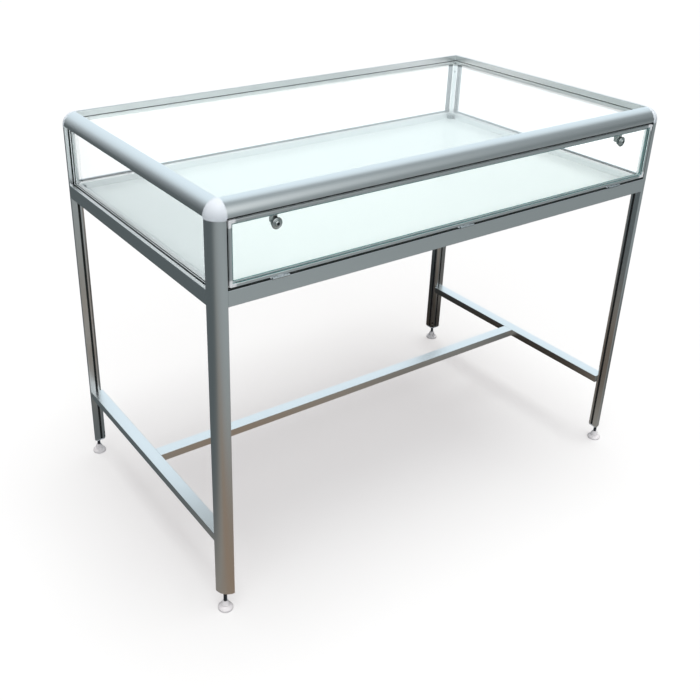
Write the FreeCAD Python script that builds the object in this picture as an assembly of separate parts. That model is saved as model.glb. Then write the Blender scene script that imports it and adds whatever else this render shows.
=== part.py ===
import FreeCAD, Part
import math
import os
from functools import partial

# Glass display table with a drop-down front flap.
# Millimetres. +Z up, +X to the right along the long side, the flap faces -Y.
# The origin is on the floor, below the middle of the overall box.

os.makedirs("parts", exist_ok=True)
Vec = FreeCAD.Vector

# ---------------------------------------------------------------- driving sizes
TABLE_W = 1200.0          # outside of the posts, along X
TABLE_D = 705.0           # outside of the posts, along Y
TABLE_H = 925.0           # floor to the top of the corner caps

# extrusion used for the posts and the top rails
PROF = 30.0               # side of the quarter-round section and radius of its arc
WALL = 1.8                # wall of every extrusion
BEVEL = 6.0               # legs of the bevel at the inner corner
BEVEL_LINE_W = 1.2        # fine line along the middle of the bevel
BEVEL_LINE_DEPTH = 0.5
LIP = 0.6                 # broken long edges
GROOVE_W = 6.0            # glass groove
GROOVE_MID = 17.0         # middle of the groove, from the outside plane
GROOVE_DEPTH = 9.0

# shelf rails
CASE_H = 168.0            # top of the table down to the top of the shelf rails
SHELF_H = 32.0
PANEL_DROP = 16.0         # shelf rail top down to the top of the panel groove
PANEL_GROOVE_H = 6.0

# H-brace
BRACE_TOP = 194.0
BRACE_H = 19.0
BRACE_W = 30.0
BRACE_SETBACK = 2.5       # side bars, in from the outside of the posts
TUBE_END = 2.0            # closed end of a brace bar

# glazing
GLASS_T = 5.0
GASKET_WEB = 1.5          # rubber between the glass edge and the groove floor
PANEL_PLAY = 0.2          # base panel in its groove
PANEL_CLEAR = 0.5         # base panel to the posts
BRACKET_R = 13.0          # corner bracket, a quarter disc on the base panel
BRACKET_H = 9.0

# corner caps, leg plugs, levelling feet
SPIGOT_LEN = 20.0
SPIGOT_PLAY = 0.15
LEG_BOTTOM = 45.0         # lower end of the posts above the floor
PLUG_LEN = 25.0
PLUG_FLANGE_T = 2.0
PLUG_FLANGE_IN = 3.5      # flange edge, in from the arc of the post
STEM_POS = 14.0           # stem axis, from both outside planes
STEM_R = 4.0
STEM_TOP = 85.0
RUN_FIT = 0.05            # radial clearance of turning and sliding shafts
PAD_R = 16.5
PAD_DISC_H = 7.0
PAD_NECK_R = 10.5
PAD_TOP_H = 18.0

# flap
FLAP_SIDE_GAP = 3.5
FLAP_TOP_GAP = 4.5
FLAP_BOTTOM_GAP = 5.5
FLAP_T = 10.0
FLAP_BAR = 6.0            # visible height of the frame strips
FLAP_WEB = 1.5
FLAP_CORNER = 14.0        # legs of the plastic corner pieces
FLAP_CORNER_R = 2.5

# hinges
HINGE_INSET = 140.0       # middle of an outer hinge, in from the outside of the posts
HINGE_LEN = 38.0
HINGE_KNUCKLES = 3
KNUCKLE_R = 2.5
KNUCKLE_GAP = 0.3
KNUCKLE_OFF = 2.6         # pin axis in front of the front plane
PIN_R = 1.2
LEAF_T = 1.2
LEAF_DEPTH = 9.5          # leaf from the front plane inwards

# locks
LOCK_INSET = 134.0        # lock axis, in from the outside of the posts
LOCK_DROP = 60.5          # lock axis below the top of the table
ROSETTE_R = 10.5
ROSETTE_T = 1.5
HEAD_R = 8.0              # raised head on the rosette
HEAD_T = 1.5
BARREL_R = 6.5
PLUG_R = 5.5
PLUG_PROUD = 1.0          # key plug in front of the head
MOVE_GAP = 0.3            # faces that pass each other
KEYWAY_W = 6.5
KEYWAY_H = 1.6
KEYWAY_DEPTH = 3.0
CASE_DISC_R = 8.5         # round foot of the lock case, against the back of the glass
CASE_DISC_BACK = 12.5     # rear of that foot, from the front plane
CASE_W = 9.0              # upright box of the lock case
CASE_DEPTH = 14.0         # that box, behind the frame strip
CASE_TOP_GAP = 2.0        # top of the case below the top of the flap
LATCH_W = 5.0             # sliding bolt that rises into the groove of the front rail
LATCH_T = 5.0
LATCH_RISE = 1.5          # lower end of the bolt above the lock axis
LATCH_TIP = 0.5           # upper end of the bolt below the top of the flap
LATCH_FOOT_W = 6.8        # wider foot of the bolt, stopped by a shoulder in the case
LATCH_FOOT_H = 3.0
LATCH_THROW = 9.0         # rise of the bolt over a quarter turn of the key

# ---------------------------------------------------------------- derived sizes
SHELF_TOP = TABLE_H - CASE_H
LOCK_Z = TABLE_H - LOCK_DROP
LOCK_X = TABLE_W / 2 - LOCK_INSET
HINGE_XS = (HINGE_INSET - TABLE_W / 2, 0.0, TABLE_W / 2 - HINGE_INSET)
LEFT = -TABLE_W / 2
RIGHT = TABLE_W / 2
# the hinge knuckles stand out in front and the foot pads behind, which shifts the frame in the box
KNUCKLE_FRONT = KNUCKLE_OFF + KNUCKLE_R
PAD_PROUD = PAD_R - STEM_POS
FRONT = -(TABLE_D + KNUCKLE_FRONT + PAD_PROUD) / 2 + KNUCKLE_FRONT
BACK = FRONT + TABLE_D
RAIL_BOTTOM = TABLE_H - PROF
IN_LEFT = LEFT + PROF
IN_RIGHT = RIGHT - PROF
IN_FRONT = FRONT + PROF
IN_BACK = BACK - PROF
RAIL_X = IN_RIGHT - IN_LEFT
RAIL_Y = IN_BACK - IN_FRONT
GROOVE_LO = GROOVE_MID - GROOVE_W / 2
GROOVE_HI = GROOVE_MID + GROOVE_W / 2
GLASS_IN = GROOVE_DEPTH - GASKET_WEB

X = Vec(1, 0, 0)
Y = Vec(0, 1, 0)
Z = Vec(0, 0, 1)
# outside corner of each post and its two inward directions, right-handed about +Z
CORNERS = {
    "fl": (Vec(LEFT, FRONT, 0), X, Y),
    "fr": (Vec(RIGHT, FRONT, 0), Y, -X),
    "rr": (Vec(RIGHT, BACK, 0), -X, -Y),
    "rl": (Vec(LEFT, BACK, 0), -Y, X),
}


# ---------------------------------------------------------------- helpers
def save(name, shape):
    """Writes one node."""
    shape.exportStep(os.path.join("parts", name + ".step"))


def box(x0, x1, y0, y1, z0, z1):
    """A box between two corners, in any order."""
    lo = Vec(min(x0, x1), min(y0, y1), min(z0, z1))
    return Part.makeBox(abs(x1 - x0), abs(y1 - y0), abs(z1 - z0), lo)


def rod(r, start, end):
    """A cylinder between two points."""
    axis = end - start
    return Part.makeCylinder(r, axis.Length, start, axis)


def polygon(points):
    """A closed flat face through (a, b) points."""
    loop = [Vec(a, b, 0) for a, b in points]
    return Part.Face(Part.makePolygon(loop + loop[:1]))


def placed(shape, origin, a, b):
    """Moves a shape drawn in (a, b, w) to an origin with the directions a, b and a x b."""
    w = a.cross(b)
    m = FreeCAD.Matrix(a.x, b.x, w.x, origin.x, a.y, b.y, w.y, origin.y,
                       a.z, b.z, w.z, origin.z, 0, 0, 0, 1)
    moved = shape.copy()
    moved.transformShape(m, True)
    return moved


# ---------------------------------------------------------------- sections
def arc_edge(radius, a_end, b_end):
    """The outside arc about the inner corner, from (a_end, low) to (low, b_end)."""
    low_b = PROF - math.sqrt(radius ** 2 - (PROF - a_end) ** 2)
    low_a = PROF - math.sqrt(radius ** 2 - (PROF - b_end) ** 2)
    mid = PROF - radius / math.sqrt(2)
    arc = Part.Arc(Vec(a_end, low_b, 0), Vec(mid, mid, 0), Vec(low_a, b_end, 0))
    return arc.toShape()


def closed_with_arc(radius, a_end, b_end, points):
    """A face bounded by the arc and by a polyline back to its start."""
    arc = arc_edge(radius, a_end, b_end)
    start = arc.Vertexes[0].Point
    end = arc.Vertexes[-1].Point
    chain = [end] + [Vec(a, b, 0) for a, b in points] + [start]
    return Part.Face(Part.Wire([arc] + Part.makePolygon(chain).Edges))


def bevel_points():
    """The bevel at the inner corner with its fine centre line."""
    m = PROF - BEVEL / 2
    h = BEVEL_LINE_W / 2 / math.sqrt(2)
    d = BEVEL_LINE_DEPTH / math.sqrt(2)
    return [(PROF - BEVEL, PROF), (m - h, m + h), (m - d, m - d), (m + h, m - h), (PROF, PROF - BEVEL)]


def chamber_face(play):
    """The hollow between the arc and the two grooves, shrunk by play."""
    a0 = GROOVE_LO - WALL - play
    a1 = PROF - GROOVE_DEPTH - WALL - play
    a2 = PROF - WALL - play
    inner = [(a0, a2), (a0, a1), (a1, a1), (a1, a0), (a2, a0)]
    return closed_with_arc(PROF - WALL - play, a2, a2, inner)


def quarter_bar(length):
    """A length of the quarter-round extrusion, outside corner on the origin."""
    floor = PROF - GROOVE_DEPTH
    one = [(LIP, PROF), (GROOVE_LO, PROF), (GROOVE_LO, floor), (GROOVE_HI, floor), (GROOVE_HI, PROF)]
    two = [(b, a) for a, b in reversed(one)]
    outline = closed_with_arc(PROF, PROF - LIP, PROF - LIP, one + bevel_points() + two)
    return outline.cut(chamber_face(0)).extrude(Vec(0, 0, length))


def shelf_bar(length, glazed):
    """A length of shelf rail: a from the outside inwards, b from the top down."""
    floor = PROF - GROOVE_DEPTH
    p0 = PANEL_DROP
    p1 = PANEL_DROP + PANEL_GROOVE_H
    points = [(0, LIP), (LIP, 0)]
    if glazed:
        points += [(GROOVE_LO, 0), (GROOVE_LO, GROOVE_DEPTH), (GROOVE_HI, GROOVE_DEPTH), (GROOVE_HI, 0)]
    points += [(PROF - LIP, 0), (PROF, LIP), (PROF, p0), (floor, p0), (floor, p1), (PROF, p1),
               (PROF, SHELF_H - LIP), (PROF - LIP, SHELF_H), (LIP, SHELF_H), (0, SHELF_H - LIP)]
    a0 = GROOVE_LO - WALL
    a1 = floor - WALL
    b1 = GROOVE_DEPTH + WALL
    b2 = p1 + WALL
    b3 = SHELF_H - WALL
    hollow = [(WALL, WALL), (a0, WALL), (a0, b1), (a1, b1), (a1, b2), (PROF - WALL, b2), (PROF - WALL, b3),
              (WALL, b3)]
    return polygon(points).cut(polygon(hollow)).extrude(Vec(0, 0, length))


# ---------------------------------------------------------------- posts and their ends
post = quarter_bar(RAIL_BOTTOM - LEG_BOTTOM).translated(Z * LEG_BOTTOM)

# ball octant that meets the three arcs, bevelled inside like the extrusion
cap = Part.makeSphere(PROF, Vec(PROF, PROF, -PROF)).common(box(0, PROF, 0, PROF, -PROF, 0))
edge_cut = polygon([(PROF - BEVEL, PROF), (PROF + 1, PROF - BEVEL - 1), (PROF + 1, PROF + 1),
                    (PROF - BEVEL, PROF + 1)]).extrude(Vec(0, 0, PROF))
cap = cap.cut(placed(edge_cut, Vec(0, 0, -PROF), X, Y))
cap = cap.cut(placed(edge_cut, Vec(0, 0, 0), -Z, Y))
cap = cap.cut(placed(edge_cut, Vec(0, 0, 0), X, -Z))
spigot_lo = PROF - (PROF - WALL) / math.sqrt(2) + SPIGOT_PLAY
spigot_hi = PROF - GROOVE_DEPTH - WALL - SPIGOT_PLAY
spigot = box(spigot_lo, spigot_hi, spigot_lo, spigot_hi, 0, SPIGOT_LEN)
cap = cap.fuse([
    placed(spigot, Vec(0, 0, -PROF - SPIGOT_LEN), X, Y),
    placed(spigot, Vec(PROF, 0, 0), -Z, Y),
    placed(spigot, Vec(0, PROF, 0), X, -Z),
]).removeSplitter()

# leg plug: a block in the chamber, a flange under the post and the stem's bore
flange_r = PROF - PLUG_FLANGE_IN
flange = closed_with_arc(flange_r, PROF, PROF, bevel_points())
stem_axis = Vec(STEM_POS, STEM_POS, 0)
leg_plug = chamber_face(SPIGOT_PLAY).extrude(Vec(0, 0, PLUG_LEN)).translated(Z * LEG_BOTTOM)
leg_plug = leg_plug.fuse(flange.extrude(Z * PLUG_FLANGE_T).translated(Z * (LEG_BOTTOM - PLUG_FLANGE_T)))
leg_plug = leg_plug.cut(rod(STEM_R + RUN_FIT, stem_axis, stem_axis + Z * (LEG_BOTTOM + PLUG_LEN + 1)))
leg_plug = leg_plug.removeSplitter()

# levelling foot: a pad with a disc and a neck, moulded on its stem
foot_points = [Vec(0, 0, 0), Vec(PAD_R, 0, 0), Vec(PAD_R, 0, PAD_DISC_H), Vec(PAD_NECK_R, 0, PAD_DISC_H),
               Vec(PAD_NECK_R, 0, PAD_TOP_H), Vec(STEM_R, 0, PAD_TOP_H), Vec(STEM_R, 0, STEM_TOP),
               Vec(0, 0, STEM_TOP), Vec(0, 0, 0)]
foot = Part.Face(Part.makePolygon(foot_points)).revolve(Vec(0, 0, 0), Z, 360).translated(stem_axis)

caps = []
plugs = []
for key, (corner, a, b) in CORNERS.items():
    save("post_" + key, placed(post, corner, a, b))
    caps.append(placed(cap, corner + Z * TABLE_H, a, b))
    save("levelling_foot_" + key, placed(foot, corner, a, b))
    plugs.append(placed(leg_plug, corner, a, b))
save("corner_caps", Part.makeCompound(caps))
save("leg_plugs", Part.makeCompound(plugs))

# ---------------------------------------------------------------- rails
long_rail = quarter_bar(RAIL_X)
short_rail = quarter_bar(RAIL_Y)
save("top_rail_front", placed(long_rail, Vec(IN_RIGHT, FRONT, TABLE_H), Y, -Z))
save("top_rail_rear", placed(long_rail, Vec(IN_LEFT, BACK, TABLE_H), -Y, -Z))
save("top_rail_left", placed(short_rail, Vec(LEFT, IN_FRONT, TABLE_H), X, -Z))
save("top_rail_right", placed(short_rail, Vec(RIGHT, IN_BACK, TABLE_H), -X, -Z))

shelf_side = shelf_bar(RAIL_Y, True)
save("shelf_rail_rear", placed(shelf_bar(RAIL_X, True), Vec(IN_LEFT, BACK, SHELF_TOP), -Y, -Z))
save("shelf_rail_left", placed(shelf_side, Vec(LEFT, IN_FRONT, SHELF_TOP), X, -Z))
save("shelf_rail_right", placed(shelf_side, Vec(RIGHT, IN_BACK, SHELF_TOP), -X, -Z))
save("shelf_rail_front", placed(shelf_bar(RAIL_X, False), Vec(IN_RIGHT, FRONT, SHELF_TOP), Y, -Z))

# ---------------------------------------------------------------- H-brace
def brace_bar(length):
    """A closed rectangular tube along w: a across, b down."""
    section = polygon([(0, LIP), (LIP, 0), (BRACE_W - LIP, 0), (BRACE_W, LIP), (BRACE_W, BRACE_H - LIP),
                       (BRACE_W - LIP, BRACE_H), (LIP, BRACE_H), (0, BRACE_H - LIP)])
    hollow = Part.makeBox(BRACE_W - 2 * WALL, BRACE_H - 2 * WALL, length - 2 * TUBE_END,
                          Vec(WALL, WALL, TUBE_END))
    return section.extrude(Vec(0, 0, length)).cut(hollow)


brace_side = brace_bar(RAIL_Y)
save("brace_left", placed(brace_side, Vec(LEFT + BRACE_SETBACK, IN_FRONT, BRACE_TOP), X, -Z))
save("brace_right", placed(brace_side, Vec(RIGHT - BRACE_SETBACK, IN_BACK, BRACE_TOP), -X, -Z))
brace_x = RIGHT - BRACE_SETBACK - BRACE_W
middle_y = (FRONT + BACK) / 2
brace_mid = placed(brace_bar(2 * brace_x), Vec(-brace_x, middle_y + BRACE_W / 2, BRACE_TOP), -Y, -Z)
save("brace_middle", brace_mid)


# ---------------------------------------------------------------- glazing
def pane(a0, a1, b0, b1, t0, t1):
    """A pane between two openings' edges; its margin enters the grooves, its corners are notched."""
    wide = box(a0 - GLASS_IN, a1 + GLASS_IN, b0, b1, t0, t1)
    return wide.fuse(box(a0, a1, b0 - GLASS_IN, b1 + GLASS_IN, t0, t1)).removeSplitter()


def channel(length):
    """A U-shaped gasket: a across the glass, b into the groove, w along the edge."""
    lip = (GROOVE_W - GLASS_T) / 2
    outer = Part.makeBox(GROOVE_W, GROOVE_DEPTH, length)
    return outer.cut(Part.makeBox(GLASS_T, GLASS_IN, length, Vec(lip, 0, 0)))


def gasket_ring(a0, a1, b0, b1, t0):
    """Four channels around an opening; t0 is the low face of the groove."""
    along_a = channel(a1 - a0)
    along_b = channel(b1 - b0)
    return [
        placed(along_a, Vec(a0, b0, t0), Z, -Y),
        placed(along_a, Vec(a1, b1, t0), Z, Y),
        placed(along_b, Vec(a0, b1, t0), Z, -X),
        placed(along_b, Vec(a1, b0, t0), Z, X),
    ]


glass_off = (GROOVE_W - GLASS_T) / 2
# the pane and its gaskets are drawn flat and then set in place
case_h = RAIL_BOTTOM - SHELF_TOP
top_pane = pane(IN_LEFT, IN_RIGHT, IN_FRONT, IN_BACK, 0, GLASS_T)
top_low = TABLE_H - GROOVE_HI
save("glass_top", top_pane.translated(Z * (top_low + glass_off)))
save("gasket_top", Part.makeCompound(gasket_ring(IN_LEFT, IN_RIGHT, IN_FRONT, IN_BACK, top_low)))

side_pane = pane(0, RAIL_Y, 0, case_h, glass_off, glass_off + GLASS_T)
side_gasket = Part.makeCompound(gasket_ring(0, RAIL_Y, 0, case_h, 0))
rear_pane = pane(0, RAIL_X, 0, case_h, glass_off, glass_off + GLASS_T)
rear_gasket = Part.makeCompound(gasket_ring(0, RAIL_X, 0, case_h, 0))
left_at = Vec(LEFT + GROOVE_LO, IN_FRONT, SHELF_TOP)
right_at = Vec(RIGHT - GROOVE_HI, IN_FRONT, SHELF_TOP)
rear_at = Vec(IN_RIGHT, BACK - GROOVE_HI, SHELF_TOP)
save("glass_left", placed(side_pane, left_at, Y, Z))
save("gasket_left", placed(side_gasket, left_at, Y, Z))
save("glass_right", placed(side_pane, right_at, Y, Z))
save("gasket_right", placed(side_gasket, right_at, Y, Z))
save("glass_rear", placed(rear_pane, rear_at, -X, Z))
save("gasket_rear", placed(rear_gasket, rear_at, -X, Z))

# ---------------------------------------------------------------- base panel and brackets
panel_bottom = SHELF_TOP - PANEL_DROP - PANEL_GROOVE_H
panel_top = panel_bottom + PANEL_GROOVE_H - PANEL_PLAY
reach = GROOVE_DEPTH - PANEL_CLEAR
panel = box(IN_LEFT - reach, IN_RIGHT + reach, IN_FRONT + PANEL_CLEAR, IN_BACK - PANEL_CLEAR,
            panel_bottom, panel_top)
panel = panel.fuse(box(IN_LEFT + PANEL_CLEAR, IN_RIGHT - PANEL_CLEAR, IN_FRONT - reach, IN_BACK + reach,
                       panel_bottom, panel_top)).removeSplitter()

bracket = Part.makeCylinder(BRACKET_R, BRACKET_H, Vec(0, 0, 0), Z, 90)
bracket = bracket.common(box(PANEL_CLEAR, BRACKET_R, PANEL_CLEAR, BRACKET_R, 0, BRACKET_H))
brackets = [placed(bracket, corner + (a + b) * PROF + Z * panel_top, a, b)
            for corner, a, b in CORNERS.values()]
save("base_panel", panel)
save("corner_brackets", Part.makeCompound(brackets))

# ---------------------------------------------------------------- flap
flap_x = IN_RIGHT - FLAP_SIDE_GAP
flap_lo = SHELF_TOP + FLAP_BOTTOM_GAP
flap_hi = RAIL_BOTTOM - FLAP_TOP_GAP
flap_back = FRONT + FLAP_T
slot_lo = FRONT + (FLAP_T - GLASS_T) / 2
slot_hi = slot_lo + GLASS_T

ring = box(-flap_x, flap_x, FRONT, flap_back, flap_lo, flap_hi)
ring = ring.makeFillet(FLAP_CORNER_R, [e for e in ring.Edges if abs(e.Vertexes[0].Y - e.Vertexes[-1].Y) > 1])
ring = ring.cut(box(-flap_x + FLAP_BAR, flap_x - FLAP_BAR, FRONT, flap_back,
                    flap_lo + FLAP_BAR, flap_hi - FLAP_BAR))
flap_glass = box(-flap_x + FLAP_WEB, flap_x - FLAP_WEB, slot_lo, slot_hi, flap_lo + FLAP_WEB,
                 flap_hi - FLAP_WEB)
ring = ring.cut(flap_glass)
corner_cut = [box(sx * flap_x, sx * (flap_x - FLAP_CORNER), FRONT, flap_back, z, z + s * FLAP_CORNER)
              for sx in (-1, 1) for z, s in ((flap_lo, 1), (flap_hi, -1))]
save("flap_corners", Part.makeCompound([ring.common(c) for c in corner_cut]))
for c in corner_cut:
    ring = ring.cut(c)
strips = {}
for solid in ring.Solids:
    centre = solid.CenterOfMass
    if abs(centre.x) > 1:
        strips["left" if centre.x < 0 else "right"] = solid
    else:
        strips["top" if centre.z > LOCK_Z else "bottom"] = solid

# ---------------------------------------------------------------- hinges
pin_y = FRONT - KNUCKLE_OFF
pin_z = SHELF_TOP + FLAP_BOTTOM_GAP / 2
pitch = HINGE_LEN / HINGE_KNUCKLES


def barrel(r, x0, x1):
    """A cylinder on the hinge axis."""
    return rod(r, Vec(x0, pin_y, pin_z), Vec(x1, pin_y, pin_z))


def leaf(x0, indices, z0, z1):
    """A leaf between z0 and z1 with its knuckles, still without pin or bore."""
    parts = []
    for i in indices:
        lo = x0 + i * pitch + KNUCKLE_GAP / 2
        hi = x0 + (i + 1) * pitch - KNUCKLE_GAP / 2
        parts += [barrel(KNUCKLE_R, lo, hi), box(lo, hi, pin_y, FRONT + MOVE_GAP, z0, z1)]
    return box(x0, x0 + HINGE_LEN, FRONT + MOVE_GAP, FRONT + LEAF_DEPTH, z0, z1).fuse(parts)


frame_leaves = []
flap_leaves = []
for cx in HINGE_XS:
    x0 = cx - HINGE_LEN / 2
    x1 = cx + HINGE_LEN / 2
    # the pin is pressed into the frame's knuckles and runs in the flap's
    frame_leaf = leaf(x0, range(0, HINGE_KNUCKLES, 2), SHELF_TOP, SHELF_TOP + LEAF_T)
    frame_leaves.append(frame_leaf.fuse(barrel(PIN_R, x0 + pitch / 2, x1 - pitch / 2)).removeSplitter())
    flap_leaf = leaf(x0, range(1, HINGE_KNUCKLES, 2), flap_lo - LEAF_T, flap_lo)
    flap_leaves.append(flap_leaf.cut(barrel(PIN_R + RUN_FIT, x0, x1)).removeSplitter())
for side, strip in strips.items():
    save("flap_strip_" + side, strip)
save("hinge_leaves_frame", Part.makeCompound(frame_leaves))
save("hinge_leaves_flap", Part.makeCompound(flap_leaves))

# ---------------------------------------------------------------- locks
rosette_face = slot_lo - ROSETTE_T
head_face = rosette_face - HEAD_T
plug_front = head_face - PLUG_PROUD
case_back = flap_back + CASE_DEPTH
case_top = flap_hi - CASE_TOP_GAP
disc_back = FRONT + CASE_DISC_BACK
latch_mid = FRONT + GROOVE_MID
latch_front = latch_mid - LATCH_T / 2
latch_back = latch_mid + LATCH_T / 2
latch_lo = LOCK_Z + LATCH_RISE
foot_hi = latch_lo + LATCH_FOOT_H
latch_hi = flap_hi - LATCH_TIP
bodies = []
cases = []


def lock_point(sx, y):
    """A point on a lock's axis; sx is -1 for the left one and 1 for the right one."""
    return Vec(sx * LOCK_X, y, LOCK_Z)


def upright(sx, width, y0, y1, z0, z1):
    """A block centred on a lock's axis."""
    return box(sx * LOCK_X - width / 2, sx * LOCK_X + width / 2, y0, y1, z0, z1)


for side, sx in (("left", -1), ("right", 1)):
    at = partial(lock_point, sx)
    # lock body: a stepped rosette on the glass and a barrel through it into the case
    body = rod(ROSETTE_R, at(rosette_face), at(slot_lo)).fuse([
        rod(HEAD_R, at(head_face), at(rosette_face)),
        rod(BARREL_R, at(slot_lo), at(disc_back)),
    ]).removeSplitter()
    bodies.append(body.cut(rod(PLUG_R + RUN_FIT, at(head_face), at(disc_back))))
    flap_glass = flap_glass.cut(rod(BARREL_R, at(slot_lo), at(slot_hi)))

    # case behind the glass: a round foot around the barrel and an upright box for the bolt
    case = rod(CASE_W / 2, at(flap_back), at(case_back))
    case = case.fuse([upright(sx, CASE_W, flap_back, case_back, LOCK_Z, case_top),
                      rod(CASE_DISC_R, at(slot_hi), at(disc_back))]).removeSplitter()
    # the bolt's way in it has a shoulder that stops the bolt's foot when the bolt is thrown
    wide_way = upright(sx, LATCH_FOOT_W + 2 * RUN_FIT, latch_front - RUN_FIT, latch_back + RUN_FIT,
                       latch_lo - MOVE_GAP, foot_hi + LATCH_THROW + MOVE_GAP)
    way = upright(sx, LATCH_W + 2 * RUN_FIT, latch_front - RUN_FIT, latch_back + RUN_FIT, latch_lo, case_top)
    cases.append(case.cut([rod(BARREL_R, at(slot_hi), at(disc_back)), wide_way.fuse(way)]))

    # key plug with a level keyway; it ends inside the case
    plug = rod(PLUG_R, at(plug_front), at(disc_back - MOVE_GAP))
    keyway = upright(sx, KEYWAY_W, plug_front, plug_front + KEYWAY_DEPTH, LOCK_Z - KEYWAY_H / 2,
                     LOCK_Z + KEYWAY_H / 2)
    save("lock_plug_" + side, plug.cut(keyway))

    # bolt, lowered: its tip is just below the top of the flap
    latch = upright(sx, LATCH_W, latch_front, latch_back, latch_lo, latch_hi)
    latch = latch.fuse(upright(sx, LATCH_FOOT_W, latch_front, latch_back, latch_lo, foot_hi))
    save("lock_latch_" + side, latch.removeSplitter())
save("flap_glass", flap_glass)
save("lock_bodies", Part.makeCompound(bodies))
save("lock_cases", Part.makeCompound(cases))
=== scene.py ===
import math

import bpy
from mathutils import Matrix, Vector


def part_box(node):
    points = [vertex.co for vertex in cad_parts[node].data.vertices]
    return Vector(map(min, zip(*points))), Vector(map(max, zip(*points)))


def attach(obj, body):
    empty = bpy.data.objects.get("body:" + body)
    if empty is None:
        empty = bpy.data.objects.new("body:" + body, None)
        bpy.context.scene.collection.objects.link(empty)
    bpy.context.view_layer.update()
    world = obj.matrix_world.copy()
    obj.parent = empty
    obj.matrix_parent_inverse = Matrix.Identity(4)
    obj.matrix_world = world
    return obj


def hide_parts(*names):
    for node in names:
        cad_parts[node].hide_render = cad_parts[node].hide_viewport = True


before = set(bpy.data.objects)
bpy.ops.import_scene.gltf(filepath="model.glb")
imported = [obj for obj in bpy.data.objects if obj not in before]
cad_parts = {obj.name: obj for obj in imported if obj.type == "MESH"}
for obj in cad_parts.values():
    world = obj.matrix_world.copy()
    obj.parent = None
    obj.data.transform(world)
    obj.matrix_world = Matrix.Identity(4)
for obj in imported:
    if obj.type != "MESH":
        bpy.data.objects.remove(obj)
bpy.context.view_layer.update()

MM = 0.001
X, Y, Z = 0, 1, 2
SIDES = ("left", "right")
CORNERS = ("fl", "fr", "rr", "rl")    # front or rear, left or right: in order around the table


# ------------------------------------------------------------------ places, from the frame
def node_box(name):
    """Lowest and highest corner of a CAD node."""
    low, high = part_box(name)
    return Vector(low), Vector(high)


def corner_place(key):
    """Outside corner of a post at the top, as a matrix whose X and Y run inwards along the rails."""
    low, high = node_box("post_" + key)
    x = high.x if key[1] == "r" else low.x
    y = high.y if key[0] == "r" else low.y
    turn = Matrix.Rotation(math.radians(90) * CORNERS.index(key), 4, "Z")
    return Matrix.Translation((x, y, frame_top)) @ turn


frame_top = node_box("top_rail_front")[1].z
case_top = node_box("top_rail_front")[0].z
case_floor = node_box("shelf_rail_front")[1].z
case_left, case_right = [corner.x for corner in node_box("top_rail_front")]


# ------------------------------------------------------------------ materials
def srgb(code):
    """An sRGB hex colour as linear RGBA."""
    parts = [int(code[i:i + 2], 16) / 255 for i in (1, 3, 5)]
    return [c / 12.92 if c <= 0.04045 else ((c + 0.055) / 1.055) ** 2.4 for c in parts] + [1.0]


def add(tree, kind, settings=None, **inputs):
    """Adds a node; an input, by its name or _number, is a constant or another node's output."""
    made = tree.nodes.new(kind)
    for name, value in (settings or {}).items():
        setattr(made, name, value)
    for name, value in inputs.items():
        socket = made.inputs[int(name[1:])] if name[0] == "_" else made.inputs[name.replace("_", " ")]
        if isinstance(value, bpy.types.NodeSocket):
            tree.links.new(value, socket)
        else:
            socket.default_value = value
    return made


def material(name):
    """An empty material with its node tree and output."""
    made = bpy.data.materials.new(name)
    made.use_nodes = True
    tree = made.node_tree
    tree.nodes.clear()
    return made, tree, tree.nodes.new("ShaderNodeOutputMaterial")


def ramp(tree, factor, stops):
    """A colour ramp with (position, hex colour) stops."""
    made = add(tree, "ShaderNodeValToRGB", Fac=factor)
    elements = made.color_ramp.elements
    while len(elements) < len(stops):
        elements.new(0.5)
    for element, (position, code) in zip(elements, stops):
        element.position = position
        element.color = srgb(code)
    return made.outputs[0]


SILVER = "#eef0f1"
SATIN = (0.26, 0.34)                  # roughness of the anodised skin, from line to line
DIE_LINE = 1.5                        # width in mm, really about a tenth of this: coarse so that they show
DIE_LINE_LENGTH = 400.0
DIE_LINE_DEPTH = 0.02


def anodised(axis):
    """Extruded aluminium, satin anodised: a soft silver sheen with fine die lines along the bar."""
    made, tree, out = material("anodised_aluminium_" + "xyz"[axis])
    scale = [1 / (DIE_LINE * MM)] * 3
    scale[axis] = 1 / (DIE_LINE_LENGTH * MM)
    place = add(tree, "ShaderNodeTexCoord")
    lines_at = add(tree, "ShaderNodeMapping", _0=place.outputs["Object"], Scale=scale)
    lines = add(tree, "ShaderNodeTexNoise", Vector=lines_at.outputs[0], Scale=1.0, Detail=2.0)
    rough = add(tree, "ShaderNodeMapRange", _0=lines.outputs[0], _3=SATIN[0], _4=SATIN[1])
    bump = add(tree, "ShaderNodeBump", Height=lines.outputs[0], Strength=0.1, Distance=DIE_LINE_DEPTH * MM)
    metal = add(tree, "ShaderNodeBsdfPrincipled", Base_Color=srgb(SILVER), Metallic=1.0,
                Roughness=rough.outputs[0], Normal=bump.outputs[0])
    tree.links.new(metal.outputs[0], out.inputs[0])
    return made


def float_glass(name, code, density):
    """Float glass, cut and ground: hard reflections, a tint that deepens along its edges, open to light."""
    made, tree, out = material(name)
    glass = add(tree, "ShaderNodeBsdfPrincipled", Base_Color=srgb("#ffffff"), Roughness=0.0, IOR=1.52,
                Transmission_Weight=1.0)
    clear = add(tree, "ShaderNodeBsdfTransparent", Color=srgb("#fafdfd"))
    path = add(tree, "ShaderNodeLightPath")
    lighting = add(tree, "ShaderNodeMath", {"operation": "MAXIMUM"}, _0=path.outputs["Is Shadow Ray"],
                   _1=path.outputs["Is Diffuse Ray"])
    both = add(tree, "ShaderNodeMixShader", _0=lighting.outputs[0], _1=glass.outputs[0], _2=clear.outputs[0])
    tint = add(tree, "ShaderNodeVolumeAbsorption", Color=srgb(code), Density=density)
    tree.links.new(both.outputs[0], out.inputs[0])
    tree.links.new(tint.outputs[0], out.inputs[1])
    return made


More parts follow.
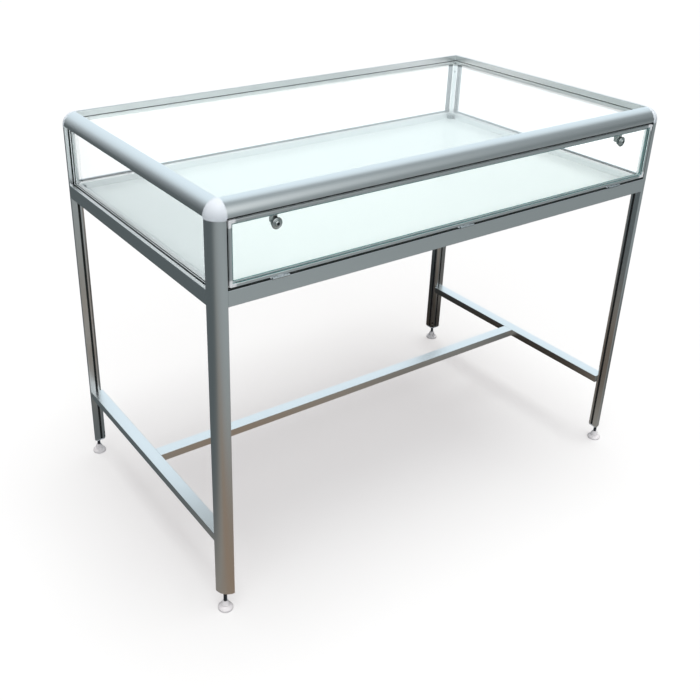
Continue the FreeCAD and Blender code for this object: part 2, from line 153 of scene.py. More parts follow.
UNEVEN = 0.04                         # how far a finish's roughness wanders to either side


def plain(name, code, roughness, grain, metallic=0.0, depth=0.01):
    """A finish of one colour with a slightly uneven skin; its grain in mm is coarser than the real one's."""
    made, tree, out = material(name)
    place = add(tree, "ShaderNodeTexCoord")
    skin = add(tree, "ShaderNodeTexNoise", Vector=place.outputs["Object"], Scale=1 / (grain * MM), Detail=3.0)
    rough = add(tree, "ShaderNodeMapRange", _0=skin.outputs[0], _3=roughness - UNEVEN, _4=roughness + UNEVEN)
    bump = add(tree, "ShaderNodeBump", Height=skin.outputs[0], Strength=0.2, Distance=depth * MM)
    body = add(tree, "ShaderNodeBsdfPrincipled", Base_Color=srgb(code), Metallic=metallic,
               Roughness=rough.outputs[0], Normal=bump.outputs[0])
    tree.links.new(body.outputs[0], out.inputs[0])
    return made


ALUMINIUM = [anodised(axis) for axis in (X, Y, Z)]
# clear, with a blue green edge, and a slightly grey copy for the case's short sides: painted shade that dulls
# what is seen through them
GLASS = float_glass("float_glass", "#7fc8c0", 13.0)
SHADED_SIDE_GLASS = float_glass("side_glass_painted_shade", "#869ca6", 38.0)
# extruded rubber: near black, dull, so that it reads as a thin shadow line
RUBBER = plain("extruded_gasket_rubber", "#1c2022", 0.6, 0.8)
# extruded soft lip: takes the green of the glass edge that it sits on
LIP_RUBBER = plain("extruded_lip_rubber", "#74a8a7", 0.35, 0.8)
# moulded plastics: smooth and softly shiny, the caps bluish white, the pads warmer, the flap's corners pale
CAP_PLASTIC = plain("moulded_white_plastic", "#dde3ea", 0.35, 1.0)
PAD_PLASTIC = plain("moulded_pad_plastic", "#eae6e8", 0.4, 1.0)
GREY_PLASTIC = plain("moulded_grey_plastic", "#f0f2f5", 0.4, 1.0)
# melamine laminate on board: even white with a faint broad sheen
PANEL = plain("laminated_board", "#f4f7f7", 0.3, 2.0)
# plated steels: chrome like a mirror, bright zinc with a sharp sheen, zinc greyer, the rolled thread darker
CHROME = plain("chrome_plate", "#d6dad9", 0.1, 4.0, 1.0, 0.003)
BRIGHT_ZINC = plain("bright_zinc_plate", "#dde2e5", 0.24, 1.5, 1.0)
STEEL = plain("zinc_plated_steel", "#a8afb6", 0.32, 1.5, 1.0)
STEM_STEEL = plain("rolled_dark_zinc_steel", "#6c7076", 0.35, 1.0, 1.0)
# black oxide on steel: almost black with a dull glint
SCREW_STEEL = plain("black_oxide_steel", "#3a3d40", 0.4, 0.6, 1.0)
# die-cast zinc, darkened: dull grey green with a soft cast skin
CAST_ZINC = plain("die_cast_zinc", "#5f6a69", 0.3, 1.0, 1.0)

# the extrusions' die lines run along each bar
BARS = {
    X: ("top_rail_front", "top_rail_rear", "shelf_rail_front", "shelf_rail_rear", "brace_middle",
        "flap_strip_top", "flap_strip_bottom"),
    Y: ("top_rail_left", "top_rail_right", "shelf_rail_left", "shelf_rail_right", "brace_left",
        "brace_right"),
    Z: ("post_fl", "post_fr", "post_rl", "post_rr", "flap_strip_left", "flap_strip_right"),
}
# by how a node's name starts; the first that fits holds
FINISHES = {
    "glass_left": SHADED_SIDE_GLASS, "glass_right": SHADED_SIDE_GLASS, "glass": GLASS, "flap_glass": GLASS,
    "gasket": RUBBER, "corner_caps": CAP_PLASTIC, "leg_plugs": CAP_PLASTIC, "levelling_foot": PAD_PLASTIC,
    "base_panel": PANEL, "corner_brackets": CAST_ZINC, "flap_corners": GREY_PLASTIC, "hinge": BRIGHT_ZINC,
    "lock_bodies": CHROME, "lock_plug": CHROME, "lock_cases": CAST_ZINC, "lock_latch": STEEL,
}
for node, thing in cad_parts.items():
    finish = next((ALUMINIUM[axis] for axis, names in BARS.items() if node in names), None)
    finish = finish or next(made for start, made in FINISHES.items() if node.startswith(start))
    thing.material_slots[0].material = finish


# ------------------------------------------------------------------ ways of making a piece
EDGE_ANGLE = math.radians(35)         # edges sharper than this stay crisp
ROUND, SMALL_ROUND = 48, 32           # sides of turned pieces


def new_piece(name):
    """Takes the primitive just added, in edit mode with everything selected."""
    made = bpy.context.object
    made.name = name
    made.data.name = name
    bpy.ops.object.mode_set(mode="EDIT")
    bpy.ops.mesh.select_all(action="SELECT")
    return made


def pick(piece, kind, wanted):
    """Selects just the vertices, edges or polygons that a test wants, on a piece in edit mode."""
    bpy.ops.mesh.select_all(action="DESELECT")
    bpy.ops.object.mode_set(mode="OBJECT")
    for part in getattr(piece.data, kind):
        part.select = wanted(part)
    bpy.ops.object.mode_set(mode="EDIT")


def done(piece, finish, body):
    """Leaves edit mode and says what the piece is made of and what it moves with."""
    bpy.ops.object.mode_set(mode="OBJECT")
    piece.data.materials.clear()
    piece.data.materials.append(finish)
    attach(piece, body)
    return piece


def close_ends():
    """Fills what is still open and turns the faces outwards."""
    bpy.ops.mesh.select_all(action="SELECT")
    bpy.ops.mesh.remove_doubles(threshold=0.001 * MM)
    bpy.ops.mesh.select_all(action="DESELECT")
    bpy.ops.mesh.select_non_manifold(extend=False)
    bpy.ops.mesh.fill_holes(sides=0)
    bpy.ops.mesh.select_all(action="SELECT")
    bpy.ops.mesh.normals_make_consistent(inside=False)


def turned(name, stations, sides, finish, body):
    """A turned piece: a circle pushed through (radius, height) stations in mm, around the Z axis."""
    bpy.ops.object.select_all(action="DESELECT")
    bpy.ops.mesh.primitive_circle_add(vertices=sides, radius=stations[0][0] * MM)
    made = new_piece(name)
    bpy.ops.transform.translate(value=(0, 0, stations[0][1] * MM))
    for (r0, z0), (r1, z1) in zip(stations, stations[1:]):
        bpy.ops.mesh.extrude_region_move(TRANSFORM_OT_translate={"value": (0, 0, (z1 - z0) * MM)})
        bpy.ops.transform.resize(value=(r1 / r0, r1 / r0, 1), center_override=(0, 0, z1 * MM))
    close_ends()
    done(made, finish, body)
    for face in made.data.polygons:
        face.use_smooth = len(face.vertices) == 4
    bpy.ops.object.shade_smooth_by_angle(angle=EDGE_ANGLE)
    return made


def strip(name, low, high, ease, finish, body):
    """A straight strip between two corners, with its edges eased by a bevel."""
    bpy.ops.object.select_all(action="DESELECT")
    bpy.ops.mesh.primitive_cube_add(size=1)
    made = new_piece(name)
    bpy.ops.transform.resize(value=[b - a for a, b in zip(low, high)], center_override=(0, 0, 0))
    bpy.ops.transform.translate(value=[(a + b) / 2 for a, b in zip(low, high)])
    bpy.ops.mesh.bevel(offset=ease, segments=2, affect="EDGES")
    return done(made, finish, body)


def set_out(piece, places):
    """Puts a finished piece in the first of its (name, body, matrix) places, and copies in the others.

    Each copy has its own mesh. Returns all of them in order.
    """
    out = []
    for name, body, place in reversed(places):
        bpy.ops.object.select_all(action="DESELECT")
        if name == places[0][0]:
            made = piece
        else:
            piece.select_set(True)
            bpy.context.view_layer.objects.active = piece
            bpy.ops.object.duplicate(linked=False)
            made = bpy.context.object
        made.name = name
        made.data.name = name
        made.data.transform(place)
        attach(made, body)
        out.append(made)
    return out[::-1]


# ------------------------------------------------------------------ levelling feet
# (radius, height): from the sole over the disc, the bell with its ring, and the neck
PAD = ((14.6, 0.0), (16.0, 0.5), (16.5, 1.6), (16.5, 4.0), (16.0, 5.2), (14.2, 6.8), (11.6, 9.4),
       (10.6, 10.2), (9.8, 10.4), (9.6, 11.2), (10.0, 11.8), (9.6, 13.2), (8.0, 16.6), (6.6, 19.6),
       (6.0, 21.2), (5.2, 21.8))
STEM_R = 4.0
STEM_FOOT = 16.0                      # the stem's lower end, inside the pad
STEM_PLAIN = 46.0                     # its thread is only cut where it can be seen
STEM_EASE = 1.0                       # at its upper end
THREAD_PITCH = 1.25
THREAD_DEPTH = 0.65
THREAD_END = 0.4                      # run-out above the last ridge
RIDGE = ((THREAD_DEPTH, 0.25), (0.0, 0.6), (0.0, 0.75), (THREAD_DEPTH, 1.1))    # depth and height of a turn
stem_top = node_box("levelling_foot_fl")[1].z / MM
ridges = int((STEM_PLAIN - STEM_FOOT) / THREAD_PITCH)
stem_line = [(STEM_R - THREAD_DEPTH, STEM_FOOT)]
for ridge in range(ridges):
    base = STEM_FOOT + ridge * THREAD_PITCH
    stem_line += [(STEM_R - depth, base + height) for depth, height in RIDGE]
stem_line += [(STEM_R, STEM_FOOT + ridges * THREAD_PITCH + THREAD_END), (STEM_R, stem_top - STEM_EASE),
              (STEM_R - STEM_EASE, stem_top)]

foot_axes = {}
for key in CORNERS:
    middle = sum(node_box("levelling_foot_" + key), Vector()) / 2
    foot_axes[key] = Matrix.Translation((middle.x, middle.y, 0))
for part in (turned("foot_pad", PAD, ROUND, PAD_PLASTIC, "foot_fl"),
             turned("foot_stem", stem_line, SMALL_ROUND, STEM_STEEL, "foot_fl")):
    feet = set_out(part, [(f"{part.name}_{key}", "foot_" + key, foot_axes[key]) for key in CORNERS])
    for key, foot in zip(CORNERS, feet):
        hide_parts("levelling_foot_" + key)


# ------------------------------------------------------------------ locks
# (radius, height): the bore, the head's rounded rim, a groove around it, the rosette's rim, the barrel
ROSETTE = ((5.56, -10.0), (5.56, 2.3), (5.8, 2.75), (6.3, 3.0), (6.9, 2.95), (7.4, 2.65), (7.75, 2.1),
           (7.85, 1.4), (7.9, 0.8), (8.3, 0.6), (8.7, 0.8), (9.0, 1.3), (9.5, 1.5), (10.0, 1.35), (10.4, 0.9),
           (10.47, 0.0), (6.45, 0.0), (6.45, -10.0), (5.56, -10.0))
WASHER = ((10.5, 0.0), (10.5, 0.7), (11.1, 0.7), (11.4, 0.4), (11.4, 0.0), (10.5, 0.0))
# a dark domed disc on the key plug's face: a painted reflection, the dark that the chrome face mirrors
PLUG_FACE_DARK = ((3.0, -0.1), (3.0, 0.12), (2.8, 0.22), (0.5, 0.26))
KEY_COLLAR = ((5.3, -0.1), (5.3, 0.15), (4.6, 0.7), (3.6, 1.1), (3.15, 1.1), (3.05, 0.7), (3.05, -0.1),
              (5.3, -0.1))
KEYWAY_SHADE = Vector((6.1, 0.6, 1.3)) * MM        # painted shade: a dark block at the bottom of the key slot; width, depth, height
KEYWAY_BACK = 2.4 * MM                       # its front below the face of the plug
KEYWAY_EASE = 0.1 * MM
outwards = Matrix.Rotation(math.radians(90), 4, "X")
on_pane, on_plug, in_plug = {}, {}, {}
for side in SIDES:
    low, high = node_box("lock_plug_" + side)
    middle = (low + high) / 2
    on_pane[side] = Matrix.Translation((middle.x, node_box("flap_glass")[0].y, middle.z)) @ outwards
    in_plug[side] = Matrix.Translation((middle.x, low.y, middle.z))
    on_plug[side] = in_plug[side] @ outwards


def on_both_locks(piece, body, places):
    """Sets a piece out on the left and the right lock; a body that ends in _ gets the side added."""
    return set_out(piece, [(f"{piece.name}_{side}", body + side if body[-1] == "_" else body, places[side])
                           for side in SIDES])


rosettes = on_both_locks(turned("lock_rosette", ROSETTE, ROUND, CHROME, "flap"), "flap", on_pane)
for rosette in rosettes:
    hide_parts("lock_bodies")
on_both_locks(turned("lock_washer", WASHER, ROUND, RUBBER, "flap"), "flap", on_pane)
on_both_locks(turned("plug_face_dark_disc", PLUG_FACE_DARK, SMALL_ROUND, SCREW_STEEL, "lock_left"), "lock_", on_plug)
on_both_locks(turned("key_collar", KEY_COLLAR, SMALL_ROUND, CHROME, "lock_left"), "lock_", on_plug)
# a dark block deep in each key slot: painted shade
slot_low = Vector((-KEYWAY_SHADE.x / 2, KEYWAY_BACK, -KEYWAY_SHADE.z / 2))
on_both_locks(strip("key_slot_shade", slot_low, slot_low + KEYWAY_SHADE, KEYWAY_EASE, SCREW_STEEL, "lock_left"),
              "lock_", in_plug)


# ------------------------------------------------------------------ the flap's rims and beads, and dark rubber as painted shade in the gaps around it
BAR = 6.0 * MM                        # width of the flap's frame strips
CORNER_PIECE = 14.0 * MM              # length of the plastic corner pieces between them
RIM = 0.8 * MM                        # how far the rims stand out of the strips' edges
RIM_EASE = 0.35 * MM
RIM_FRONT, RIM_REAR = 0.6 * MM, 0.4 * MM     # in from the flap's front and rear
BEAD_W = 2.0 * MM
BEAD_R = 0.9 * MM                     # how far the beads stand out, and sink in
BEAD_EASE = 0.8 * MM
BEAD_IN = 0.4 * MM                    # the left bead, in from the edge
GAP_SHADE_TOP, GAP_SHADE_SIDE, GAP_SHADE_BOTTOM = 2.3 * MM, 1.8 * MM, 2.6 * MM
GAP_SHADE_FRONT = 1.0 * MM                 # the upper strips of painted shade, behind the rims' front
RUBBER_EASE = 0.25 * MM
HINGE_CLEAR = 19.5 * MM               # half of a hinge and a little room
HINGE_XS = (-460.0 * MM, 0.0, 460.0 * MM)

flap_low = Vector((node_box("flap_strip_left")[0].x, node_box("flap_strip_top")[0].y,
                   node_box("flap_strip_bottom")[0].z))
flap_high = Vector((node_box("flap_strip_right")[1].x, node_box("flap_strip_top")[1].y,
                    node_box("flap_strip_top")[1].z))


def flap_metal(name, low, high, ease, axis):
    """A strip of the flap's aluminium with its die lines along an axis."""
    return strip(name, low, high, ease, ALUMINIUM[axis], "flap")


def rubber(name, low, high):
    """A rubber strip on the table's frame."""
    return strip(name, low, high, RUBBER_EASE, RUBBER, "table")


def between_hinges(x0, x1):
    """The stretches of a long strip that are free of the hinges."""
    ends = [x0] + [x for centre in HINGE_XS for x in (centre - HINGE_CLEAR, centre + HINGE_CLEAR)] + [x1]
    return list(zip(ends[::2], ends[1::2]))


# the rims around the strips' edges, between the corner pieces
y0, y1 = flap_low.y + RIM_FRONT, flap_high.y - RIM_REAR
x0, x1 = flap_low.x + CORNER_PIECE, flap_high.x - CORNER_PIECE
z0, z1 = flap_low.z + CORNER_PIECE, flap_high.z - CORNER_PIECE
flap_metal("flap_rim_top", (x0, y0, flap_high.z), (x1, y1, flap_high.z + RIM), RIM_EASE, X)
flap_metal("flap_rim_left", (flap_low.x - RIM, y0, z0), (flap_low.x, y1, z1), RIM_EASE, Z)
flap_metal("flap_rim_right", (flap_high.x, y0, z0), (flap_high.x + RIM, y1, z1), RIM_EASE, Z)

# rounded beads along the strips' fronts: at the outside of the upright and top ones, by the glass below
bead_y = (flap_low.y - BEAD_R, flap_low.y + BEAD_R)
for name, across, level in (("top", (x0, x1), (flap_high.z - BEAD_W, flap_high.z)),
                            ("bottom", (x0, x1), (flap_low.z + BAR - BEAD_W, flap_low.z + BAR)),
                            ("left", (flap_low.x + BEAD_IN, flap_low.x + BEAD_IN + BEAD_W), (z0, z1)),
                            ("right", (flap_high.x - BEAD_W, flap_high.x), (z0, z1))):
    flap_metal("flap_bead_" + name, (across[0], bead_y[0], level[0]), (across[1], bead_y[1], level[1]),
               BEAD_EASE, Z if name in SIDES else X)

# dark rubber in the gaps around the flap, on the frame: painted shade where the gaps lie in shadow
gap_shade_y, gap_shade_z = y0 + GAP_SHADE_FRONT, case_top - GAP_SHADE_TOP
rubber("gap_shade_top", (case_left, gap_shade_y, gap_shade_z), (case_right, y1, case_top))
rubber("gap_shade_left", (case_left, gap_shade_y, case_floor), (case_left + GAP_SHADE_SIDE, y1, gap_shade_z))
rubber("gap_shade_right", (case_right - GAP_SHADE_SIDE, gap_shade_y, case_floor), (case_right, y1, gap_shade_z))
for number, (start, end) in enumerate(between_hinges(case_left + GAP_SHADE_SIDE, case_right - GAP_SHADE_SIDE)):
    rubber(f"stop_bottom_{number}", (start, y0, case_floor), (end, y1, case_floor + GAP_SHADE_BOTTOM))

# ------------------------------------------------------------------ slim frames that hold the flap's pane
FRONT_LIP = 0.6 * MM                  # width of the soft lip in front of the pane
FRONT_LIP_T = 1.0 * MM
REAR_T = 1.2 * MM                     # how far the pale pad and the lip stand off behind the pane
PAD_UPRIGHT, PAD_LEVEL = 1.2 * MM, 3.0 * MM
LIP_UPRIGHT, LIP_LEVEL = 3.4 * MM, 1.6 * MM
SLIM_EASE = 0.3                       # bevel, as a share of the slimmest side


def slim_frame(name, inset, widths, y, depth, finish):
    """A frame around the pane, its upright and level bars given as (upright, level) insets and widths."""
    bpy.ops.object.select_all(action="DESELECT")
    bpy.ops.mesh.primitive_plane_add(size=1)
    made = new_piece(name)
    bpy.ops.transform.rotate(value=math.radians(90), orient_axis="X", center_override=(0, 0, 0))
    wide = flap_high.x - flap_low.x - 2 * inset[0]
    tall = flap_high.z - flap_low.z - 2 * inset[1]
    bpy.ops.transform.resize(value=(wide, 1, tall), center_override=(0, 0, 0))
    even = 1 * MM                     # an even inset first, then drawn to the two widths
    bpy.ops.mesh.inset(thickness=even, depth=0)
    bpy.ops.transform.resize(value=((wide - 2 * widths[0]) / (wide - 2 * even), 1,
                                    (tall - 2 * widths[1]) / (tall - 2 * even)), center_override=(0, 0, 0))
    bpy.ops.mesh.delete(type="FACE")
    bpy.ops.mesh.select_all(action="SELECT")
    bpy.ops.transform.translate(value=(0, y, (flap_low.z + flap_high.z) / 2))
    bpy.ops.mesh.extrude_region_move(TRANSFORM_OT_translate={"value": (0, depth, 0)})
    bpy.ops.mesh.select_all(action="SELECT")
    bpy.ops.mesh.normals_make_consistent(inside=False)
    bpy.ops.mesh.bevel(offset=min(*widths, depth) * SLIM_EASE, segments=3, affect="EDGES")
    return done(made, finish, "flap")


pane_front, pane_rear = [corner.y for corner in node_box("flap_glass")]
slim_frame("flap_lip_front", (BAR, BAR), (FRONT_LIP, FRONT_LIP), pane_front - FRONT_LIP_T, FRONT_LIP_T,
           LIP_RUBBER)
slim_frame("flap_pad_rear", (BAR, BAR), (PAD_UPRIGHT, PAD_LEVEL), pane_rear, REAR_T, GREY_PLASTIC)
slim_frame("flap_lip_rear", (BAR + PAD_UPRIGHT, BAR + PAD_LEVEL), (LIP_UPRIGHT, LIP_LEVEL), pane_rear, REAR_T,
           LIP_RUBBER)


# ------------------------------------------------------------------ dark rubber in the posts' grooves as painted shade, pane beads
PROFILE = 30.0                        # side of the extrusion
GROOVE = (14.0, 20.0)                 # from the outside plane
FILL = (0.8, 4.5)                     # the groove's dark rubber, painted shade, in from its mouth
FILL_FOOT, FILL_HEAD = 1.0, 0.5       # left open above the post's lower end and below the shelf rail
FILL_EASE = 0.3 * MM
PANE_BEAD = (8.0, 11.5)               # thin beads beside the panes, from the outside plane
PANE_BEAD_H = 0.8 * MM
fill_low = Vector((GROOVE[0], PROFILE - FILL[1], FILL_FOOT)) * MM
fill_high = Vector((GROOVE[1], PROFILE - FILL[0], -FILL_HEAD)) * MM
fill_low.z += node_box("post_fl")[0].z - frame_top
fill_high.z += node_box("shelf_rail_front")[0].z - frame_top
# dark rubber along each groove: painted shade for the groove's depth
fill = strip("groove_fill", fill_low, fill_high, FILL_EASE, RUBBER, "table")
# half a turn about the corner's diagonal puts it in the post's other groove
turn_over = Matrix(((0, 1, 0, 0), (1, 0, 0, 0), (0, 0, -1, fill_low.z + fill_high.z), (0, 0, 0, 1)))
set_out(fill, [(f"groove_fill_{key}_{face}", "table", corner_place(key) @ turn)
               for key in CORNERS for face, turn in (("a", Matrix()), ("b", turn_over))])


def pane_bead(name, *spans):
    """A thin bead over three (start, end) spans, in any order."""
    rubber("pane_bead_" + name, [min(span) for span in spans], [max(span) for span in spans])


outside = (node_box("post_fl")[0], node_box("post_rr")[1])
inside = [corner + way * Vector((1, 1, 0)) * PROFILE * MM for corner, way in zip(outside, (1, -1))]
on_floor = (case_floor, case_floor + PANE_BEAD_H)
above = (on_floor[1], case_top)
for side, edge, way in (("left", outside[0].x, 1), ("right", outside[1].x, -1)):
    across = [edge + way * reach * MM for reach in PANE_BEAD]
    pane_bead(side + "_bottom", across, (inside[0].y, inside[1].y), on_floor)
    pane_bead(side + "_rear", across, (inside[1].y - PANE_BEAD_H, inside[1].y), above)
pane_bead("rear_bottom", (inside[0].x, inside[1].x), [outside[1].y - reach * MM for reach in PANE_BEAD],
          on_floor)


# ------------------------------------------------------------------ corner caps' outer skin
BALL = 30.0                           # radius of the caps and of the extrusion's round side
COLLAR = 3.0                          # how far the skin laps over the post
RAIL_COLLAR = 1.8                     # and over the rails
PROUD = 0.25
SKIN_T = 0.5
BALL_STEPS = 14
TOUCH = 0.01 * MM
wide = (BALL + PROUD + RAIL_COLLAR) * MM
tall = (BALL + PROUD + COLLAR) * MM
bpy.ops.object.select_all(action="DESELECT")
bpy.ops.mesh.primitive_cube_add(size=1)
skin = new_piece("cap_skin")
bpy.ops.transform.resize(value=(wide, wide, tall), center_override=(0, 0, 0))
bpy.ops.transform.translate(value=(wide / 2 - PROUD * MM, wide / 2 - PROUD * MM, -tall / 2))

# the three edges at the table's outside corner are rolled into a ball, and the flat faces left come off
tip = Vector((-PROUD, -PROUD, 0)) * MM


def at_the_tip(edge):
    """Whether an edge of the skin ends at the table's outside corner."""
    return any((skin.data.vertices[v].co - tip).length < TOUCH for v in edge.vertices)


def is_flat(face):
    """Whether a face looks straight along an axis."""
    return max(abs(part) for part in face.normal) > 0.99999


pick(skin, "edges", at_the_tip)
bpy.ops.mesh.select_mode(type="EDGE")
bpy.ops.mesh.bevel(offset=(BALL + PROUD) * MM, segments=BALL_STEPS, profile=0.5, affect="EDGES",
                   clamp_overlap=False)
bpy.ops.mesh.select_mode(type="FACE")
pick(skin, "polygons", is_flat)
bpy.ops.mesh.delete(type="FACE")
bpy.ops.mesh.select_mode(type="VERT")
done(skin, CAP_PLASTIC, "table")
for face in skin.data.polygons:
    face.use_smooth = True
wall = skin.modifiers.new("wall", "SOLIDIFY")
wall.thickness = SKIN_T * MM
wall.offset = -1                      # the wall grows inwards
bpy.ops.object.modifier_apply(modifier="wall")
bpy.ops.object.shade_smooth_by_angle(angle=EDGE_ANGLE)
set_out(skin, [("cap_skin_" + key, "table", corner_place(key)) for key in CORNERS])


# ------------------------------------------------------------------ set screws on the posts' inner bevels
SCREW_HEIGHTS = (50.0, 61.0, 874.0)
BEVEL_MIDDLE = 27.0                   # of the post's two widths, from its outside corner
SCREW_R, SCREW_SIDES = 2.5, 24
SCREW_LENGTH = 2.0
SOCKET_R, SOCKET_SIDES = 1.35, 6
SOCKET_DEPTH = 1.4
SCREW_PROUD = 0.15
NEAR = 0.1                            # room in the tests for a ring's radius
bpy.ops.object.select_all(action="DESELECT")
bpy.ops.mesh.primitive_circle_add(vertices=SCREW_SIDES, radius=SCREW_R * MM)
screw = new_piece("set_screw")
bpy.ops.mesh.primitive_circle_add(vertices=SOCKET_SIDES, radius=SOCKET_R * MM)
bpy.ops.mesh.select_all(action="SELECT")
bpy.ops.mesh.bridge_edge_loops()
pick(screw, "vertices", lambda vertex: vertex.co.length < (SOCKET_R + NEAR) * MM)
bpy.ops.mesh.extrude_region_move(TRANSFORM_OT_translate={"value": (0, 0, -SOCKET_DEPTH * MM)})
pick(screw, "vertices", lambda vertex: vertex.co.length > (SCREW_R - NEAR) * MM)
bpy.ops.mesh.extrude_region_move(TRANSFORM_OT_translate={"value": (0, 0, -SCREW_LENGTH * MM)})
close_ends()
done(screw, SCREW_STEEL, "table")
inwards = Vector((1, 1, 0)).to_track_quat("Z", "Y").to_matrix().to_4x4()
in_bevel = BEVEL_MIDDLE + SCREW_PROUD
seats = [Matrix.Translation(Vector((in_bevel, in_bevel, height - frame_top / MM)) * MM) @ inwards
         for height in SCREW_HEIGHTS]
set_out(screw, [(f"set_screw_{key}_{number}", "table", corner_place(key) @ seat)
                for key in CORNERS for number, seat in enumerate(seats)])


# ------------------------------------------------------------------ floor
PAPER = "#b0b4b5"
PAPER_GLOW = "#fff8f7"
LIFT = 0.48                           # glow of the paper under its shadow, as the camera sees it
GLASS_LIFT = 1.05                     # the same through panes, which take some of it away
FLOOR_SIDE = 28.0
# painted reflection: a glowing shop floor that only the metal mirrors, its colours from its left rear to its
# right
# front: around the table, and further off in front of it
SHOP_WAY = (0.6, -0.8, 0.0)
SHOP_REACH = (-1.0, 2.0)
SHOP_CLOSE = ((0.12, "#5a6264"), (0.2, "#656969"), (0.28, "#8b8780"), (0.33, "#8f7d6c"), (0.53, "#8a8883"),
              (0.8, "#949c9d"), (1.0, "#848c8d"))
SHOP_FAR = ((0.05, "#6a7274"), (0.33, "#8e9596"), (0.8, "#a0a8a9"), (1.0, "#8a9293"))
FAR_Y, CLOSE_Y = -1.3, -0.7
# its shade: a deep oval below and behind the table's right half, placed on a floor drawn in along Y, and a
# lighter disc beside the right end
DRAWN_IN = (1.0, 0.75, 1.0)
OVAL_AT, OVAL_REACH, OVAL_SHADE = (0.42, 0.375, 0.0), (0.42, 0.6), 0.13
DISC_AT, DISC_REACH, DISC_SHADE = (1.3, -0.2, 0.0), (0.45, 0.7), 0.4


def seamless_paper():
    """Matt white background paper with the table's shadow on it; metal mirrors a painted glowing shop floor,
    with painted shade, in its place.
    """
    made, tree, out = material("seamless_paper")
    path = add(tree, "ShaderNodeLightPath")
    direct = add(tree, "ShaderNodeMath", {"operation": "MULTIPLY"}, _0=path.outputs["Is Camera Ray"], _1=LIFT)
    lift = add(tree, "ShaderNodeMath", {"operation": "MULTIPLY_ADD"}, _0=path.outputs["Is Transmission Ray"],
               _1=GLASS_LIFT, _2=direct.outputs[0])
    glow = add(tree, "ShaderNodeEmission", Color=srgb(PAPER_GLOW), Strength=lift.outputs[0])
    paper = add(tree, "ShaderNodeBsdfDiffuse", Color=srgb(PAPER))
    seen = add(tree, "ShaderNodeAddShader", _0=paper.outputs[0], _1=glow.outputs[0])

    place = add(tree, "ShaderNodeTexCoord").outputs["Object"]
    across = add(tree, "ShaderNodeVectorMath", {"operation": "DOT_PRODUCT"}, _0=place, _1=SHOP_WAY)
    reach = add(tree, "ShaderNodeMapRange", _0=across.outputs["Value"], _1=SHOP_REACH[0], _2=SHOP_REACH[1])
    near = ramp(tree, reach.outputs[0], SHOP_CLOSE)
    far = ramp(tree, reach.outputs[0], SHOP_FAR)
    along = add(tree, "ShaderNodeSeparateXYZ", _0=place)
    close = add(tree, "ShaderNodeMapRange", _0=along.outputs["Y"], _1=FAR_Y, _2=CLOSE_Y)
    shop = add(tree, "ShaderNodeMix", {"data_type": "RGBA"}, _0=close.outputs[0], _6=far, _7=near)

    drawn_in = add(tree, "ShaderNodeVectorMath", {"operation": "MULTIPLY"}, _0=place, _1=DRAWN_IN)
    below = add(tree, "ShaderNodeVectorMath", {"operation": "DISTANCE"}, _0=drawn_in.outputs[0], _1=OVAL_AT)
    oval = add(tree, "ShaderNodeMapRange", _0=below.outputs["Value"], _1=OVAL_REACH[0], _2=OVAL_REACH[1],
               _3=OVAL_SHADE, _4=1.0)
    beside = add(tree, "ShaderNodeVectorMath", {"operation": "DISTANCE"}, _0=place, _1=DISC_AT)
    disc = add(tree, "ShaderNodeMapRange", _0=beside.outputs["Value"], _1=DISC_REACH[0], _2=DISC_REACH[1],
               _3=DISC_SHADE, _4=1.0)
    shade = add(tree, "ShaderNodeMath", {"operation": "MINIMUM"}, _0=oval.outputs[0], _1=disc.outputs[0])
    mirrored = add(tree, "ShaderNodeEmission", Color=shop.outputs[2], Strength=shade.outputs[0])
    only_mirrored = add(tree, "ShaderNodeMath", {"operation": "SUBTRACT", "use_clamp": True},
                        _0=path.outputs["Is Glossy Ray"], _1=path.outputs["Is Transmission Ray"])
    all_in = add(tree, "ShaderNodeMixShader", _0=only_mirrored.outputs[0], _1=seen.outputs[0],
                 _2=mirrored.outputs[0])
    tree.links.new(all_in.outputs[0], out.inputs[0])
    return made


bpy.ops.object.select_all(action="DESELECT")
bpy.ops.mesh.primitive_plane_add(size=FLOOR_SIDE)
floor = bpy.context.object
floor.name = "floor"
floor.data.materials.append(seamless_paper())

# ------------------------------------------------------------------ surroundings and lamps
EVEN_LIGHT = "#8d8f91"                # what lights the object from all around
MIRROR_STRENGTH = 1.05
# what the metal mirrors: a window behind to the right, and a bright room in front and above
WINDOW_SIDE = (0.55, 0.75, 0.35)
WINDOW = ((0.1, "#34393b"), (0.46, "#7c8386"), (0.58, "#c6d0d4"), (0.68, "#dfedf4"), (0.9, "#e8f7ff"))
ROOM_SIDE = (0.0, -0.85, 0.5)
ROOM = ((0.45, "#000000"), (0.7, "#70787a"), (0.82, "#b0b9bb"), (0.92, "#f4f8f8"))


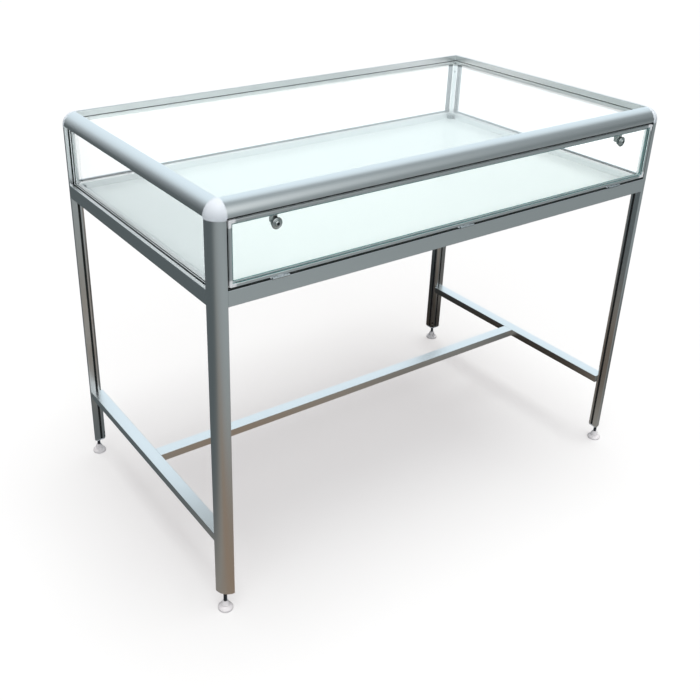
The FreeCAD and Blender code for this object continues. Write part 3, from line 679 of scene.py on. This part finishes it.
def surroundings():
    """White for the camera and through glass, even grey for light, a window and a room for the metal."""
    world = bpy.data.worlds.new("studio")
    world.use_nodes = True
    sky = world.node_tree
    sky.nodes.clear()
    way = add(sky, "ShaderNodeTexCoord").outputs["Generated"]
    to_window = add(sky, "ShaderNodeVectorMath", {"operation": "DOT_PRODUCT"}, _0=way, _1=WINDOW_SIDE)
    to_room = add(sky, "ShaderNodeVectorMath", {"operation": "DOT_PRODUCT"}, _0=way, _1=ROOM_SIDE)
    both = add(sky, "ShaderNodeVectorMath", {"operation": "ADD"},
               _0=ramp(sky, to_window.outputs["Value"], WINDOW), _1=ramp(sky, to_room.outputs["Value"], ROOM))
    mirrored = add(sky, "ShaderNodeBackground", Color=both.outputs[0], Strength=MIRROR_STRENGTH)
    even = add(sky, "ShaderNodeBackground", Color=srgb(EVEN_LIGHT), Strength=1.0)
    white = add(sky, "ShaderNodeBackground", Color=srgb("#ffffff"), Strength=1.0)
    path = add(sky, "ShaderNodeLightPath")
    lit = add(sky, "ShaderNodeMixShader", _0=path.outputs["Is Glossy Ray"], _1=even.outputs[0],
              _2=mirrored.outputs[0])
    looked_at = add(sky, "ShaderNodeMath", {"operation": "MAXIMUM"}, _0=path.outputs["Is Camera Ray"],
                    _1=path.outputs["Is Transmission Ray"])
    all_in = add(sky, "ShaderNodeMixShader", _0=looked_at.outputs[0], _1=lit.outputs[0], _2=white.outputs[0])
    add(sky, "ShaderNodeOutputWorld", _0=all_in.outputs[0])
    return world


def sunlight(name, way_to, spread, strength, code):
    """A soft lamp without falloff, shining from a direction, that the metal doesn't mirror."""
    data = bpy.data.lights.new(name, "SUN")
    data.angle = math.radians(spread)
    data.energy = strength
    data.color = srgb(code)[:3]
    lamp = bpy.data.objects.new(name, data)
    lamp.visible_glossy = False
    bpy.context.scene.collection.objects.link(lamp)
    lamp.matrix_world = Vector(way_to).to_track_quat("Z", "Y").to_matrix().to_4x4()


bpy.context.scene.world = surroundings()
sunlight("overhead_light", way_to=(0.08, -0.02, 1.0), spread=38, strength=2.3, code="#fffdfa")
sunlight("camera_side_light", way_to=(-0.5, -0.8, 0.9), spread=60, strength=1.2, code="#ffffff")

# ------------------------------------------------------------------ camera
# it stands left of the front, above eye level, and looks down
CAMERA_AT = (-1.3023, -1.6479, 1.4875)
CAMERA_TURN = math.radians(33.73)     # from +Y towards +X
CAMERA_DOWN = math.radians(26.86)
CAMERA_ROLL = math.radians(0.64)
LENS = 47.91
SENSOR = 36.0
FRAME_PX = 700
MIDDLE_PX = (290.61, 303.18)          # optical axis in the square frame

look = Vector((math.sin(CAMERA_TURN) * math.cos(CAMERA_DOWN), math.cos(CAMERA_TURN) * math.cos(CAMERA_DOWN),
               -math.sin(CAMERA_DOWN)))
right = Vector((math.cos(CAMERA_TURN), -math.sin(CAMERA_TURN), 0))
up = right.cross(look)
c, s = math.cos(CAMERA_ROLL), math.sin(CAMERA_ROLL)
right, up = c * right + s * up, c * up - s * right
lens = bpy.data.cameras.new("camera")
lens.sensor_fit = "HORIZONTAL"
lens.sensor_width = SENSOR
lens.lens = LENS
lens.shift_x = (FRAME_PX / 2 - MIDDLE_PX[0]) / FRAME_PX
lens.shift_y = (MIDDLE_PX[1] - FRAME_PX / 2) / FRAME_PX
lens.clip_start = 0.05
camera = bpy.data.objects.new("camera", lens)
bpy.context.scene.collection.objects.link(camera)
camera.matrix_world = Matrix.Translation(CAMERA_AT) @ Matrix((right, up, -look)).transposed().to_4x4()
bpy.context.scene.camera = camera
bpy.context.scene.view_settings.view_transform = "Standard"
